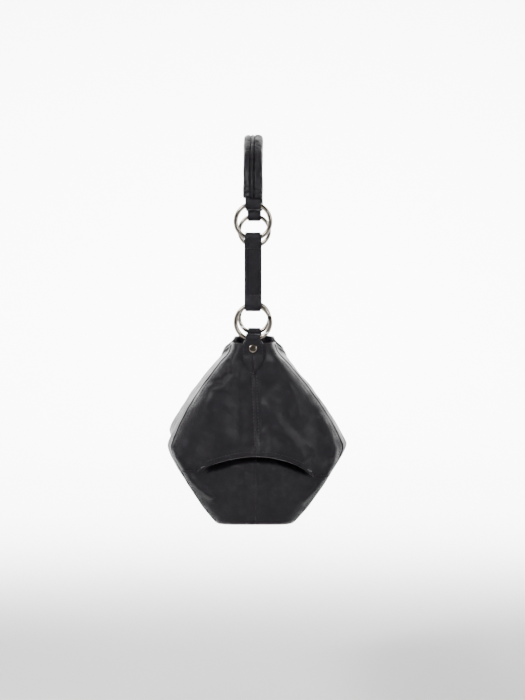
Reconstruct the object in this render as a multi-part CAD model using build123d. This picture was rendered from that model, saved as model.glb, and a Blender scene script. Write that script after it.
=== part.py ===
from build123d import *
import math
import os

# A soft leather hobo bag that hangs from one padded handle.  Both ends of the handle carry
# an O-ring, a short strap and a spring-gate ring, and a riveted tab joins each gate ring to
# the narrow end of the bag.
#
# Millimetres.  +Z is up, +X runs along the bag, the front faces -Y.  The origin is the hang
# point: the underside of the middle of the handle.  The right end (+X) is modelled and the
# left end is the same thing turned half a turn about Z.

os.makedirs("parts", exist_ok=True)

# ---- rings ----
RING_WIRE = 4.5
RING_INNER = 32.0
RING_SPACING = 290.0  # between the two chains of rings
GATE_HINGE_DEG = 15.0  # above horizontal, on the outer half of the ring
GATE_FOOT = 11.2  # depth of the gate's flat foot below the ring's centre
GATE_GAP = 0.3
GATE_OVERRUN_DEG = 20.0  # of the wire past its cuts, so that the cuts are clean
TONGUE_WIDTH = 2.2
TONGUE_GAP = 0.15
KNUCKLE_GAP = 0.35  # between the hinge ears and the bar of the gate
PIN_RADIUS = 0.7
PIN_CLEARANCE = 0.05
PIN_SHORT = 0.4  # of the pin, so that it stays inside the ears

# ---- leather goods ----
LEATHER = 1.8
LOOP_CLEARANCE = 0.15  # at the edges of a loop, where the curved wire comes nearest
STRAP_WIDTH = 18.0
STRAP_PIVOTS = 72.0  # between the two rings' bearing lines
STRAP_FILLER = 0.8
STRAP_FILLER_MARGIN = 2.0  # of sewn leather beside the filler
STRAP_TAPER = 13.0
HANDLE_LOOP_WIDTH = 16.5
HANDLE_LOOP_TAPER = 9.0
HANDLE_LOOP_STEM = 20.0
TAB_LOOP_WIDTH = 15.0
TAB_LOOP_SLOT = 0.8  # where the loop's two sides meet below the ring

# ---- padded handle ----
HANDLE_WIDTH = 22.0
HANDLE_THICKNESS = 13.0
HANDLE_CORNER = 5.5
HANDLE_COVER = 1.6
HANDLE_RING_DROP = 90.0  # from the hang point to the O-rings' centres
HANDLE_END_GAP = 3.0  # between the padded end and the ring
HANDLE_STRAIGHT = 2.5
HANDLE_SIDE_RADIUS = 50.0
SEAM_STRIP_WIDTH = 2.6
SEAM_STRIP_HEIGHT = 0.6
SEAM_STRIP_OFFSET = -0.9

# ---- bag body: half length, half depth and the corner cut at three levels ----
BODY_TOP_GAP = 2.4  # below the lowest point of the gate ring
BODY_HEIGHT = 193.0
WIDE_HEIGHT = 84.0  # of the widest level above the base
TOP_HALF_DEPTH = 25.0
WIDE_HALF_DEPTH = 98.0
BASE_HALF_DEPTH = 49.0
WIDE_OVERHANG = 12.6  # of the widest level beyond the top, at each end
BASE_INSET = 12.0  # of the base behind the top, at each end
TOP_CUT = (10.0, 6.0)
WIDE_CUT = (40.0, 42.0)
BASE_CUT = (10.0, 8.0)
PANEL = 2.0
LINING = 0.8
FACING = 1.2
FACING_DEPTH = 24.0
BASE_BOARD = 2.0
MOUTH_DIP = 18.0
MOUTH_DIP_HALF = 105.0
TUCK_ABOVE_BASE = 74.0
TUCK_HALF_WIDTH = 56.0
TUCK_STRIP = 4.0
TUCK_PROUD = 1.6

# ---- tab, rivet, snap and pocket ----
TAB_HALF_TOP = 10.3
TAB_HALF_WIDE = 11.9
TAB_WIDE_DROP = 8.5
TAB_HALF_LOW = 9.5
TAB_LOW_DROP = 18.5
TAB_TIP_DROP = 30.0
TAB_SHOULDER = (5.6, 24.6)
RIVET_DROP = 5.0  # from the bag's top edge; it has to stay under the ring
RIVET_RADIUS = 4.6
RIVET_DOME = 2.0
RIVET_ROUND = 0.8  # of the dome's height that its edge is rounded by
RIVET_RECESS_RADIUS = 2.6
RIVET_RECESS = 0.5
RIVET_POST = 1.6
RIVET_BACK_RADIUS = 4.0
RIVET_BACK = 1.2
SNAP_RADIUS = 9.0
SNAP_THICKNESS = 2.4
SNAP_BOSS_RADIUS = 4.0
SNAP_BOSS = 1.6
SNAP_DROP = 12.0  # below the lowest point of the mouth
POCKET_HALF_WIDTH = 70.0
POCKET_TOP_DROP = 38.0
POCKET_DEPTH = 72.0
POCKET_LAYER = 1.0
BINDING_HEIGHT = 7.0
BINDING_LAYER = 0.8

# ---- cutting tools ----
FAR = 1000.0  # larger than the bag
OVERCUT = 5.0  # of a cut past the face that it opens

# ---- what follows from them ----
RING_RADIUS = (RING_INNER + RING_WIRE) / 2
END_X = RING_SPACING / 2
KNUCKLE_RADIUS = RING_WIRE / 2 + KNUCKLE_GAP
STRAP_FILLER_WIDTH = STRAP_WIDTH - 2 * STRAP_FILLER_MARGIN


def sagitta(width):
    """How far the ring's wire rises across half of a loop this wide."""
    return RING_RADIUS - math.sqrt(RING_RADIUS**2 - (width / 2) ** 2)


def bearing(width):
    """From a ring's centre to the line that a loop this wide turns about."""
    return RING_RADIUS - sagitta(width) / 2


def bore(width):
    """Radius of the round hollow that holds the curved wire out to the loop's edges."""
    inner_edge = math.sqrt((RING_INNER / 2) ** 2 - (width / 2) ** 2)
    return bearing(width) - inner_edge + LOOP_CLEARANCE


UPPER_RING_Z = -HANDLE_RING_DROP
HANDLE_PIVOT_Z = UPPER_RING_Z + bearing(HANDLE_LOOP_WIDTH)
STRAP_TOP_Z = UPPER_RING_Z - bearing(STRAP_WIDTH)
STRAP_LOW_Z = STRAP_TOP_Z - STRAP_PIVOTS
LOWER_RING_Z = STRAP_LOW_Z - bearing(STRAP_WIDTH)
TAB_PIVOT_Z = LOWER_RING_Z - bearing(TAB_LOOP_WIDTH)
TOP_Z = LOWER_RING_Z - RING_RADIUS - RING_WIRE / 2 - BODY_TOP_GAP
BASE_Z = TOP_Z - BODY_HEIGHT
WIDE_Z = BASE_Z + WIDE_HEIGHT
TUCK_Z = BASE_Z + TUCK_ABOVE_BASE
HANDLE_END_Z = UPPER_RING_Z + RING_RADIUS + RING_WIRE / 2 + HANDLE_END_GAP
STACK = LEATHER + PANEL + LINING + FACING + LEATHER  # of layers that the tab folds over
TOP_HALF_LENGTH = END_X + STACK / 2 - LEATHER
TAB_HALF_STACK = STACK / 2


def save(shape, name):
    """Write one piece as its own file."""
    export_step(shape, f"parts/{name}.step")


def other_end(shape):
    """The same piece at the left end."""
    return Rot(0, 0, 180) * shape


def save_both(shape, name):
    save(shape, f"{name}_right")
    save(other_end(shape), f"{name}_left")


def slab(low, high):
    """All the space between two levels."""
    return Pos(0, 0, (low + high) / 2) * Box(FAR, FAR, high - low)


# ---------------------------------------------------------------- loops and rings


def teardrop(radius, half_end, taper):
    """A circle at the origin that narrows along two tangents to a flat end below it."""
    turn = math.atan2(-taper, half_end) + math.acos(radius / math.hypot(taper, half_end))
    side = (radius * math.cos(turn), radius * math.sin(turn))
    outline = [
        Line((half_end, -taper), side),
        ThreePointArc(side, (0, radius), (-side[0], side[1])),
        Line((-side[0], side[1]), (-half_end, -taper)),
        Line((-half_end, -taper), (half_end, -taper)),
    ]
    return make_face(Wire(outline))


def across(face, width):
    """A profile in X and Z, drawn out along Y by width about the middle."""
    return extrude(Plane.XZ * face, amount=width / 2, both=True)


def loop(width, half_end, taper):
    """A leather loop's solid and its hollow, hanging below the bearing line."""
    solid = across(teardrop(bore(width) + LEATHER, half_end, taper), width)
    hollow = across(teardrop(bore(width), STRAP_FILLER / 2, taper), 2 * width)
    return solid, hollow


def wire_arc(start, sweep):
    """A stretch of a ring's wire; angles run from +Y towards +Z."""
    section = Pos(0, RING_RADIUS) * Circle(RING_WIRE / 2)
    return Rot(start, 0, 0) * revolve(section, Axis.X, sweep)


def x_pin(radius, length):
    """A round bar along X at the gate's hinge."""
    angle = math.radians(GATE_HINGE_DEG)
    place = Pos(0, RING_RADIUS * math.cos(angle), RING_RADIUS * math.sin(angle))
    return place * Rot(0, 90, 0) * Cylinder(radius, length)


def middle(width):
    """The space within width of the ring's own plane."""
    return Box(width, FAR, FAR)


def gate_ring():
    """The fixed part of the spring-gate ring: the wire with two hinge ears."""
    foot_deg = math.degrees(math.asin(GATE_FOOT / RING_RADIUS))
    wire = wire_arc(GATE_HINGE_DEG, 360 - GATE_HINGE_DEG - foot_deg + GATE_OVERRUN_DEG)
    foot = -GATE_FOOT - GATE_GAP / 2
    hinge = RING_RADIUS * math.sin(math.radians(GATE_HINGE_DEG))
    gate_side = Pos(0, FAR / 2, (foot + hinge) / 2) * Box(FAR, FAR, hinge - foot)
    ears = x_pin(RING_WIRE / 2, RING_WIRE)
    body = (wire - gate_side) + (ears & middle(RING_WIRE))
    slot = x_pin(KNUCKLE_RADIUS, TONGUE_WIDTH + 2 * TONGUE_GAP)
    return body - slot - x_pin(PIN_RADIUS, 3 * RING_WIRE)


def gate():
    """The moving part: a stretch of wire with a tongue at the hinge and a flat foot."""
    foot_deg = math.degrees(math.asin(GATE_FOOT / RING_RADIUS))
    start = -foot_deg - GATE_OVERRUN_DEG
    wire = wire_arc(start, GATE_HINGE_DEG - start)
    below_foot = slab(-FAR, -GATE_FOOT + GATE_GAP / 2)
    bar = wire - below_foot - x_pin(KNUCKLE_RADIUS, 3 * RING_WIRE)
    tongue = x_pin(KNUCKLE_RADIUS - 2 * TONGUE_GAP, TONGUE_WIDTH)
    link = wire & x_pin(KNUCKLE_RADIUS + TONGUE_GAP, 3 * RING_WIRE) & middle(TONGUE_WIDTH)
    return bar + tongue + link - x_pin(PIN_RADIUS + PIN_CLEARANCE, 3 * RING_WIRE)


def make_rings():
    ring = Rot(0, 90, 0) * Torus(RING_RADIUS, RING_WIRE / 2)
    save_both(Pos(END_X, 0, UPPER_RING_Z) * ring, "upper_ring")
    low = Pos(END_X, 0, LOWER_RING_Z)
    save_both(low * gate_ring(), "gate_ring")
    save_both(low * gate(), "gate")
    save_both(low * x_pin(PIN_RADIUS, RING_WIRE - PIN_SHORT), "gate_pin")


def make_straps():
    """A strap is one strip of leather round both rings, stitched together over a filler."""
    half = LEATHER + STRAP_FILLER / 2
    top, top_hollow = loop(STRAP_WIDTH, half, STRAP_TAPER)
    low, low_hollow = Rot(180, 0, 0) * top, Rot(180, 0, 0) * top_hollow
    filler_length = STRAP_PIVOTS - 2 * STRAP_TAPER
    drop = Pos(0, 0, -STRAP_PIVOTS)
    web = Pos(0, 0, -STRAP_PIVOTS / 2) * Box(2 * half, STRAP_WIDTH, filler_length)
    filler = Pos(0, 0, -STRAP_PIVOTS / 2) * Box(STRAP_FILLER, STRAP_FILLER_WIDTH, filler_length)
    strap = top + web + drop * low - top_hollow - drop * low_hollow - filler
    place = Pos(END_X, 0, STRAP_TOP_Z)
    save_both(place * strap, "strap")
    save_both(place * filler, "strap_filler")


# ---------------------------------------------------------------- handle


def handle_path():
    """Half of the handle's centre line: straight, a tight arc, then a flat arc to the top."""
    apex = HANDLE_THICKNESS / 2
    spring = HANDLE_END_Z + HANDLE_STRAIGHT
    rise = apex - spring
    reach = END_X - HANDLE_SIDE_RADIUS
    top_radius = (rise**2 + reach**2 - HANDLE_SIDE_RADIUS**2) / (2 * (rise - HANDLE_SIDE_RADIUS))
    lean = math.asin(reach / (top_radius - HANDLE_SIDE_RADIUS))
    centre = apex - top_radius

    def on_top(angle):
        return (top_radius * math.sin(angle), 0, centre + top_radius * math.cos(angle))

    def on_side(angle):
        turn = HANDLE_SIDE_RADIUS
        return (reach + turn * math.cos(angle), 0, spring + turn * math.sin(angle))

    knee = on_top(lean)
    side = (math.pi / 2 - lean) / 2
    return Wire(
        [
            Line((END_X, 0, HANDLE_END_Z), (END_X, 0, spring)),
            ThreePointArc((END_X, 0, spring), on_side(side), knee),
            ThreePointArc(knee, on_top(0), (-knee[0], 0, knee[2])),
            ThreePointArc((-knee[0], 0, knee[2]), mirrored(on_side(side)), (-END_X, 0, spring)),
            Line((-END_X, 0, spring), (-END_X, 0, HANDLE_END_Z)),
        ]
    )


def mirrored(point):
    return (-point[0], point[1], point[2])


def along_handle(section):
    """A section drawn along the handle; its X faces outwards and its Y is the bag's Y."""
    start = Plane(origin=(END_X, 0, HANDLE_END_Z), x_dir=(1, 0, 0), z_dir=(0, 0, 1))
    return sweep(start * section, path=handle_path())


def make_handle():
    outer = RectangleRounded(HANDLE_THICKNESS, HANDLE_WIDTH, HANDLE_CORNER)
    inner = RectangleRounded(
        HANDLE_THICKNESS - 2 * HANDLE_COVER,
        HANDLE_WIDTH - 2 * HANDLE_COVER,
        HANDLE_CORNER - HANDLE_COVER,
    )
    strip_x = HANDLE_THICKNESS / 2 + SEAM_STRIP_HEIGHT / 2
    strip = Pos(strip_x, SEAM_STRIP_OFFSET) * Rectangle(SEAM_STRIP_HEIGHT, SEAM_STRIP_WIDTH)
    half = LEATHER + STRAP_FILLER / 2
    hung, hollow = loop(HANDLE_LOOP_WIDTH, half, HANDLE_LOOP_TAPER)
    stem = Pos(0, 0, -(HANDLE_LOOP_TAPER + HANDLE_LOOP_STEM) / 2)
    stem = stem * Box(2 * half, HANDLE_LOOP_WIDTH, HANDLE_LOOP_STEM - HANDLE_LOOP_TAPER)
    end_loop = Pos(END_X, 0, HANDLE_PIVOT_Z) * Rot(180, 0, 0) * (hung - hollow + stem)
    core = along_handle(inner)
    solid_loop = Pos(END_X, 0, HANDLE_PIVOT_Z) * Rot(180, 0, 0) * (hung + stem)
    padding = core - solid_loop - other_end(solid_loop)
    save(along_handle(outer) - core, "handle_cover")
    save(padding, "handle_padding")
    save(along_handle(strip), "handle_seam_strip")
    save_both(end_loop, "handle_end_loop")


# ---------------------------------------------------------------- bag body


def level(z, half_length, half_depth, cut, inset):
    """The bag's outline at one level: a rectangle with its corners cut off."""
    x, y = half_length - inset, half_depth - inset
    corner = [(x, y - cut[1]), (x - cut[0], y), (cut[0] - x, y), (-x, y - cut[1])]
    points = corner + [(-a, -b) for a, b in corner]
    return Pos(0, 0, z) * make_face(Wire([*Polyline(*points, close=True).edges()]))


def hull(inset, floor=0.0, above=0.0):
    """The bag's outer form, shrunk by inset, with its floor raised and its top drawn up."""
    wide_length = TOP_HALF_LENGTH + WIDE_OVERHANG
    base_length = TOP_HALF_LENGTH - BASE_INSET
    base = level(BASE_Z + floor, base_length, BASE_HALF_DEPTH, BASE_CUT, inset)
    wide = level(WIDE_Z, wide_length, WIDE_HALF_DEPTH, WIDE_CUT, inset)
    top = level(TOP_Z, TOP_HALF_LENGTH, TOP_HALF_DEPTH, TOP_CUT, inset)
    form = loft([base, wide], ruled=True) + loft([wide, top], ruled=True)
    if above:
        form += extrude(top, amount=above, dir=(0, 0, 1))
    return form


def right_end():
    """The space past the two side seams, which run where the bag's corners meet its long sides."""
    wide = TOP_HALF_LENGTH + WIDE_OVERHANG - WIDE_CUT[0]
    base = TOP_HALF_LENGTH - BASE_INSET - BASE_CUT[0]
    top = TOP_HALF_LENGTH - TOP_CUT[0]
    beyond, under, over = 2 * TOP_HALF_LENGTH, BASE_Z - OVERCUT, TOP_Z + OVERCUT
    outline = [(base, under), (base, BASE_Z), (wide, WIDE_Z), (top, TOP_Z), (top, over)]
    outline = outline + [(beyond, over), (beyond, under)]
    return across(make_face(Wire([*Polyline(*outline, close=True).edges()])), FAR)


def mouth_dip():
    """A wide shallow hollow that lowers the middle of the front and back top edges."""
    radius = (MOUTH_DIP_HALF**2 + MOUTH_DIP**2) / (2 * MOUTH_DIP)
    return Pos(0, 0, TOP_Z - MOUTH_DIP + radius) * Rot(90, 0, 0) * Cylinder(radius, FAR)


def end_plane(z, inset=0.0):
    """A plane on the upper end wall at height z, facing outwards along the wall's normal."""
    rise = TOP_Z - WIDE_Z
    x = TOP_HALF_LENGTH - inset + WIDE_OVERHANG * (TOP_Z - z) / rise
    return Plane(origin=(x, 0, z), x_dir=(0, 1, 0), z_dir=(rise, 0, WIDE_OVERHANG))


def side_plane(z, inset, side):
    """A plane on the upper front (-1) or back (+1) wall, facing into the bag."""
    rise, spread = TOP_Z - WIDE_Z, WIDE_HALF_DEPTH - TOP_HALF_DEPTH
    y = TOP_HALF_DEPTH - inset + spread * (TOP_Z - z) / rise
    return Plane(origin=(0, side * y, z), x_dir=(1, 0, 0), z_dir=(0, -side * rise, -spread))


def rivet_hole():
    """The space of the rivet's shank, right through the end wall and the tab."""
    return end_plane(TOP_Z - RIVET_DROP) * Cylinder(RIVET_POST, 2 * TAB_TIP_DROP)


def wall_depth(across_x):
    """A distance along X through the upper end wall, measured square to the wall."""
    return across_x * (TOP_Z - WIDE_Z) / math.hypot(TOP_Z - WIDE_Z, WIDE_OVERHANG)


def make_shell(outer, inner, dip):
    """The panels of the leather shell."""
    shell = outer - inner - slab(BASE_Z - OVERCUT, BASE_Z + PANEL) - dip
    right = right_end()
    left = other_end(right)
    hole = rivet_hole()
    end_wall = (shell & right) - hole
    for half, side in (("back", 1), ("front", -1)):
        side_space = Pos(0, side * FAR / 2, 0) * Box(FAR, FAR, 2 * FAR)
        save((shell - right - left) & side_space, f"{half}_panel")
        for place, low, high in (("upper", TUCK_Z, TOP_Z + OVERCUT), ("lower", BASE_Z - OVERCUT, TUCK_Z)):
            piece = end_wall & side_space & slab(low, high)
            save(piece, f"end_{place}_{half}_right")
            turned = other_end(end_wall) & side_space & slab(low, high)
            save(turned, f"end_{place}_{half}_left")
    save(outer & slab(BASE_Z - OVERCUT, BASE_Z + PANEL), "base_panel")
    strip = Pos(2 * END_X, 0, TUCK_Z) * Box(2 * END_X, 2 * TUCK_HALF_WIDTH, TUCK_STRIP)
    save_both((hull(-TUCK_PROUD) - outer) & strip, "end_tuck")


def make_inside(inner, dip):
    """Facing, lining, base board, snap and pocket."""
    hole = rivet_hole()
    both = hole + other_end(hole)
    facing_low = TOP_Z - MOUTH_DIP - FACING_DEPTH
    facing_hollow = hull(PANEL + FACING, PANEL, above=OVERCUT)
    facing = (inner - facing_hollow) & slab(facing_low, TOP_Z)
    save(facing - dip - both, "mouth_facing")
    board_top = BASE_Z + PANEL + BASE_BOARD
    save(inner & slab(BASE_Z, board_top), "base_board")
    bag_hollow = hull(PANEL + LINING, PANEL + BASE_BOARD + LINING, above=OVERCUT)
    save((inner - bag_hollow) & slab(board_top, facing_low), "lining")
    snap_z = TOP_Z - MOUTH_DIP - SNAP_DROP
    for name, side in (("front", -1), ("back", 1)):
        disc = Pos(0, 0, SNAP_THICKNESS / 2) * Cylinder(SNAP_RADIUS, SNAP_THICKNESS)
        boss = Pos(0, 0, SNAP_THICKNESS + SNAP_BOSS / 2) * Cylinder(SNAP_BOSS_RADIUS, SNAP_BOSS)
        socket = Pos(0, 0, SNAP_THICKNESS - SNAP_BOSS / 2) * Cylinder(SNAP_BOSS_RADIUS, SNAP_BOSS)
        snap = disc + boss if side < 0 else disc - socket
        save(side_plane(snap_z, PANEL + FACING, side) * snap, f"snap_{name}")
    low = facing_low - POCKET_DEPTH
    back = Pos(0, FAR / 2, (low + facing_low) / 2) * Box(2 * POCKET_HALF_WIDTH, FAR, POCKET_DEPTH)
    back = back & slab(max(low, WIDE_Z + LINING), facing_low - BINDING_LAYER)
    layer = hull(PANEL + LINING) - hull(PANEL + LINING + POCKET_LAYER)
    save(layer & back, "inner_pocket")
    edge = hull(PANEL + LINING + POCKET_LAYER) - hull(PANEL + LINING + POCKET_LAYER + BINDING_LAYER)
    save(edge & back & slab(facing_low - BINDING_HEIGHT, facing_low), "pocket_binding")


def leaf():
    """The tab's outline seen from the end, drawn right through the end wall."""
    top, tip = TOP_Z, TOP_Z - TAB_TIP_DROP
    wide = (TAB_HALF_WIDE, top - TAB_WIDE_DROP)
    low = (TAB_HALF_LOW, top - TAB_LOW_DROP)
    shoulder = (TAB_SHOULDER[0], top - TAB_SHOULDER[1])

    def flip(point):
        return (-point[0], point[1])

    outline = [
        Line((-TAB_HALF_TOP, top), (TAB_HALF_TOP, top)),
        ThreePointArc((TAB_HALF_TOP, top), wide, low),
        ThreePointArc(low, shoulder, (0, tip)),
        ThreePointArc((0, tip), flip(shoulder), flip(low)),
        ThreePointArc(flip(low), flip(wide), (-TAB_HALF_TOP, top)),
    ]
    return Pos(END_X, 0, 0) * extrude(Plane.YZ * make_face(Wire(outline)), amount=2 * TAB_TIP_DROP, both=True)


def make_tabs(outer):
    """A tab folds over the gate ring, outside the end wall and inside the facing."""
    inside = PANEL + FACING
    drop = TAB_PIVOT_Z - TOP_Z
    hung, _ = loop(TAB_LOOP_WIDTH, TAB_HALF_STACK, drop)
    hollow = across(teardrop(bore(TAB_LOOP_WIDTH), TAB_LOOP_SLOT / 2, drop - LEATHER / 2), 3 * TAB_LOOP_WIDTH)
    outline = leaf()
    front = (hull(-LEATHER) - outer) & outline
    back = (hull(inside) - hull(inside + LEATHER)) & outline
    tab = Pos(END_X, 0, TAB_PIVOT_Z) * (hung - hollow) + front + back
    save_both(tab - rivet_hole(), "tab")
    head = Cylinder(RIVET_RADIUS, RIVET_DOME, align=(Align.CENTER, Align.CENTER, Align.MIN))
    head = fillet(head.edges().group_by(Axis.Z)[-1], RIVET_DOME * RIVET_ROUND)
    recess = Pos(0, 0, RIVET_DOME) * Cylinder(RIVET_RECESS_RADIUS, 2 * RIVET_RECESS)
    place = end_plane(TOP_Z - RIVET_DROP) * Pos(0, 0, wall_depth(LEATHER))
    depth = wall_depth(LEATHER + inside + LEATHER)
    post = Pos(0, 0, -depth / 2) * Cylinder(RIVET_POST, depth)
    save_both(place * (head - recess + post), "rivet")
    washer = Pos(0, 0, -depth - RIVET_BACK / 2) * Cylinder(RIVET_BACK_RADIUS, RIVET_BACK)
    save_both(place * washer, "rivet_back")


make_rings()
make_straps()
make_handle()
body_outer = hull(0)
body_inner = hull(PANEL, PANEL, above=OVERCUT)
mouth = mouth_dip()
make_shell(body_outer, body_inner, mouth)
make_inside(body_inner, mouth)
make_tabs(body_outer)
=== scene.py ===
"""A small leather hobo bag hung by its padded handle, modelled round its CAD frame."""

import math

import bpy
import numpy as np
from mathutils import Matrix, Vector


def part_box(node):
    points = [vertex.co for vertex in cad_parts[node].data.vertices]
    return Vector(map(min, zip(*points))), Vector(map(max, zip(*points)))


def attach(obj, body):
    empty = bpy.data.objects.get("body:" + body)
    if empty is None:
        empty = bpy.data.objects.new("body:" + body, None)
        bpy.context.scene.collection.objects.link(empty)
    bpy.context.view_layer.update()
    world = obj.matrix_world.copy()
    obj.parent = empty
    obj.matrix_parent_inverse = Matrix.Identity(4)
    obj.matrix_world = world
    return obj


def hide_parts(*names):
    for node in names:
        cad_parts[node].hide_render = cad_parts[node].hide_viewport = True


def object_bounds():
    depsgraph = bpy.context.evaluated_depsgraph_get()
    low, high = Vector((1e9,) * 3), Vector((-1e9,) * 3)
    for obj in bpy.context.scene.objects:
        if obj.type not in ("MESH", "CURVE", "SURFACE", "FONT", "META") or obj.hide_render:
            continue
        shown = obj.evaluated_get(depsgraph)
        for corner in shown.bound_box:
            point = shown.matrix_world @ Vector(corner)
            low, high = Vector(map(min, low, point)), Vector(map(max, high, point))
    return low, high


bl_info = {
    "name": "Leather hobo bag",
    "version": (1, 0, 0),
    "blender": (4, 5, 0),
    "location": "View3D > Sidebar > Hobo bag",
    "description": "Builds a soft leather hobo bag with its straps, rings and stage",
    "category": "Object",
}

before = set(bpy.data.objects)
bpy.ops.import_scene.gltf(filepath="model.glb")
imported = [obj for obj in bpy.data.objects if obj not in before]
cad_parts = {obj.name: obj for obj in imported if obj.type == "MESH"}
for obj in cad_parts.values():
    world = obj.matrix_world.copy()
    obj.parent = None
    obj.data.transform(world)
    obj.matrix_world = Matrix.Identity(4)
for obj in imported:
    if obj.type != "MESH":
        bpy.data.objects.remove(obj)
CAD_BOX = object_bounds()
MM = 0.001
SPREAD = 12.6  # of the widest fold beyond the mouth, at each end


def middle(node):
    """The middle of a CAD node's box, in millimetres."""
    low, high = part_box(node)
    return (low + high) / 2 / MM


def width_of(node):
    """Width of a CAD node across the bag, in millimetres."""
    low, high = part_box(node)
    return (high.y - low.y) / MM


# Places read from the frame, in millimetres.
RING_TOP = middle("upper_ring_right")
RING_LOW = middle("gate_ring_left")
RING_LOW.x = -RING_LOW.x
END_X = RING_TOP.x
WIRE = (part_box("upper_ring_right")[1].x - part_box("upper_ring_right")[0].x) / MM
RING_RADIUS = (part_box("upper_ring_right")[1].z / MM - RING_TOP.z) - WIRE / 2
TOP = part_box("end_upper_front_right")[1].z / MM
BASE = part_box("base_panel")[0].z / MM
HEIGHT = TOP - BASE
TUCK = middle("end_tuck_right").z - BASE
LENGTH_TOP = CAD_BOX[1][0] / MM - SPREAD
HANDLE_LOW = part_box("handle_cover")[0].z / MM
HANDLE_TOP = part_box("handle_cover")[1].z / MM
STRAP_WIDTH = width_of("strap_right")
TAB_LOOP_WIDTH = 15.0
LOOP_GAP = 0.35  # between a loop and its ring


# ------------------------------------------------------------------ sizes and colours


def linear(hex_value):
    """An sRGB hex value as linear red, green, blue and alpha."""
    parts = [int(hex_value[i : i + 2], 16) / 255 for i in (1, 3, 5)]
    return [p / 12.92 if p <= 0.04045 else ((p + 0.055) / 1.055) ** 2.4 for p in parts] + [1.0]


class BagSizes(bpy.types.PropertyGroup):
    """Sizes that a maker would change."""

    leather: bpy.props.FloatProperty(
        name="Leather", description="Thickness of the shell", default=0.0015, unit="LENGTH"
    )
    strap_leather: bpy.props.FloatProperty(
        name="Strap leather", description="Thickness of a layer", default=0.0018, unit="LENGTH"
    )
    stitch_pitch: bpy.props.FloatProperty(
        name="Stitch pitch", description="From stitch to stitch", default=0.0032, unit="LENGTH"
    )
    stitch_length: bpy.props.FloatProperty(
        name="Stitch length", description="Length of one stitch", default=0.0023, unit="LENGTH"
    )
    thread: bpy.props.FloatProperty(
        name="Thread", description="Thickness of the thread", default=0.00075, unit="LENGTH"
    )
    lip: bpy.props.FloatProperty(
        name="Tuck lip", description="Radius of the rolled tuck", default=0.0026, unit="LENGTH"
    )
    recess: bpy.props.FloatProperty(
        name="Tuck recess", description="Set-back below the tuck", default=0.0095, unit="LENGTH"
    )
    grain: bpy.props.FloatProperty(
        name="Grain", description="Width of a pebble of the grain", default=0.0015, unit="LENGTH"
    )


class BagColours(bpy.types.PropertyGroup):
    """Colours of the finishes."""

    leather: bpy.props.FloatVectorProperty(
        name="Leather", description="Nappa", size=4, subtype="COLOR", default=linear("#0e0c11")
    )
    # The edge paint is lighter than the leather: partly the paint's own tone, partly a painted highlight
    # for the glossy edges.
    edge: bpy.props.FloatVectorProperty(
        name="Edge paint", description="Cut edges", size=4, subtype="COLOR", default=linear("#2b282b")
    )
    thread: bpy.props.FloatVectorProperty(
        name="Thread", description="Sewing", size=4, subtype="COLOR", default=linear("#0e0d0f")
    )
    nickel: bpy.props.FloatVectorProperty(
        name="Nickel", description="Plated metal", size=4, subtype="COLOR", default=linear("#7f776e")
    )
    lining: bpy.props.FloatVectorProperty(
        name="Lining", description="Twill", size=4, subtype="COLOR", default=linear("#1c1b1d")
    )
    floor: bpy.props.FloatVectorProperty(
        name="Floor", description="Paper sweep", size=4, subtype="COLOR", default=linear("#e4e4e4")
    )


def size(name):
    """One of the maker's sizes, in millimetres."""
    return getattr(bpy.context.scene.hobo_sizes, name) / MM


def colour(name, share=1.0):
    """One of the finishes' colours, lighter or darker by a share."""
    whole = getattr(bpy.context.scene.hobo_colours, name)
    return [min(1.0, part * share) for part in whole[:3]] + [1.0]


# ------------------------------------------------------------------ mesh helpers


def deselect():
    """Nothing is selected, so an operator acts only on what it adds."""
    if bpy.context.object and bpy.context.object.mode != "OBJECT":
        bpy.ops.object.mode_set(mode="OBJECT")
    bpy.ops.object.select_all(action="DESELECT")


def pick(piece):
    """Only this piece is selected and active."""
    deselect()
    piece.select_set(True)
    bpy.context.view_layer.objects.active = piece
    return piece


def points_of(piece):
    """The places of a piece's points, in metres."""
    flat = np.zeros(len(piece.data.vertices) * 3)
    piece.data.vertices.foreach_get("co", flat)
    return flat.reshape(-1, 3)


def place_points(piece, points):
    """Put a piece's points at new places, in metres."""
    piece.data.vertices.foreach_set("co", points.ravel())
    piece.data.update()


def surface(name, columns, rows, place, closed=False):
    """A grid whose points go where place(u, v) says, u and v running from 0 to 1."""
    deselect()
    bpy.ops.mesh.primitive_grid_add(x_subdivisions=columns, y_subdivisions=rows, size=2)
    piece = bpy.context.object
    piece.name = name
    flat = points_of(piece)
    place_points(piece, np.stack(place((flat[:, 0] + 1) / 2, (flat[:, 1] + 1) / 2), 1) * MM)
    if closed:
        edit(piece, lambda: bpy.ops.mesh.remove_doubles(threshold=1e-6))
    return piece


def edit(piece, *steps):
    """Run edit-mode steps on the whole piece."""
    pick(piece)
    bpy.ops.object.mode_set(mode="EDIT")
    bpy.ops.mesh.select_all(action="SELECT")
    for step in steps:
        step()
    bpy.ops.object.mode_set(mode="OBJECT")


def select_where(piece, wanted):
    """Select only the vertices whose place, in metres, is wanted, and enter edit mode."""
    pick(piece)
    for part in (piece.data.polygons, piece.data.edges):
        part.foreach_set("select", [False] * len(part))
    for corner in piece.data.vertices:
        corner.select = bool(wanted(corner.co))
    bpy.ops.object.mode_set(mode="EDIT")
    bpy.ops.mesh.select_mode(type="VERT")


def outwards(piece, away_from=(0, 0, 0)):
    """Turn an open sheet's faces so that they look away from a point, in millimetres."""
    mesh = piece.data
    side = sum(
        (face.center - Vector(away_from) * MM).dot(face.normal) * face.area for face in mesh.polygons
    )
    if side < 0:
        edit(piece, bpy.ops.mesh.flip_normals)
    return piece


def modify(piece, kind, **settings):
    """Add a modifier and apply it."""
    pick(piece)
    made = piece.modifiers.new(kind.lower(), kind)
    for name, value in settings.items():
        setattr(made, name, value)
    bpy.ops.object.modifier_apply(modifier=made.name)
    return piece


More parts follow.
